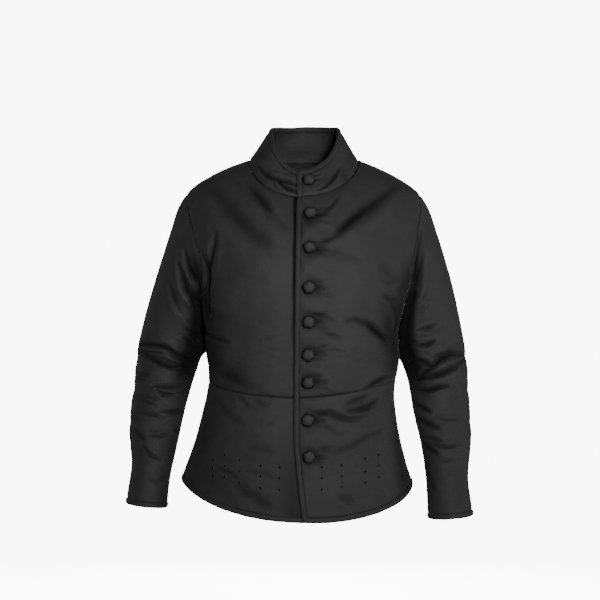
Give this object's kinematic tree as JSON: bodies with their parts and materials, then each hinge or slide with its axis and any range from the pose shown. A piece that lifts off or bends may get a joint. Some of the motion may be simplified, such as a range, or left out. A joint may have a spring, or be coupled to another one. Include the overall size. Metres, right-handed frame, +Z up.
{
  "type": "arming doublet",
  "caption": "Fitted black padded arming doublet with standing collar, flared skirt, long sleeves and cloth-covered front buttons",
  "frame": {"origin": "the mount worn_on_shoulders: on the body's middle line, level with the points where the collar meets the shoulder seams", "axes": "+Z up along the standing wearer; the buttoned front faces -Y; +X is the wearer's left"},
  "size_m": [0.6181, 0.2798, 0.7026],
  "materials": {
    "twill": "black cotton drill, soft sheen",
    "binding": "black cotton drill, rolled edge",
    "button_cloth": "black cotton gathered over a stuffed ball"
  },
  "bodies": {
    "root": {"front_left": "twill", "front_right": "twill", "back": "twill", "skirt_front_left": "twill", "skirt_front_right": "twill", "skirt_back": "twill", "collar": "twill", "sleeve_upper_left": "twill", "sleeve_under_left": "twill", "sleeve_upper_right": "twill", "sleeve_under_right": "twill", "binding_front_left": "binding", "binding_front_right": "binding", "binding_hem_back": "binding", "binding_collar": "binding", "binding_cuff_left": "binding", "binding_cuff_right": "binding", "button_collar": "button_cloth", "button_1": "button_cloth", "button_2": "button_cloth", "button_3": "button_cloth", "button_4": "button_cloth", "button_5": "button_cloth", "button_6": "button_cloth", "button_7": "button_cloth", "button_8": "button_cloth"}
  },
  "joints": []
}
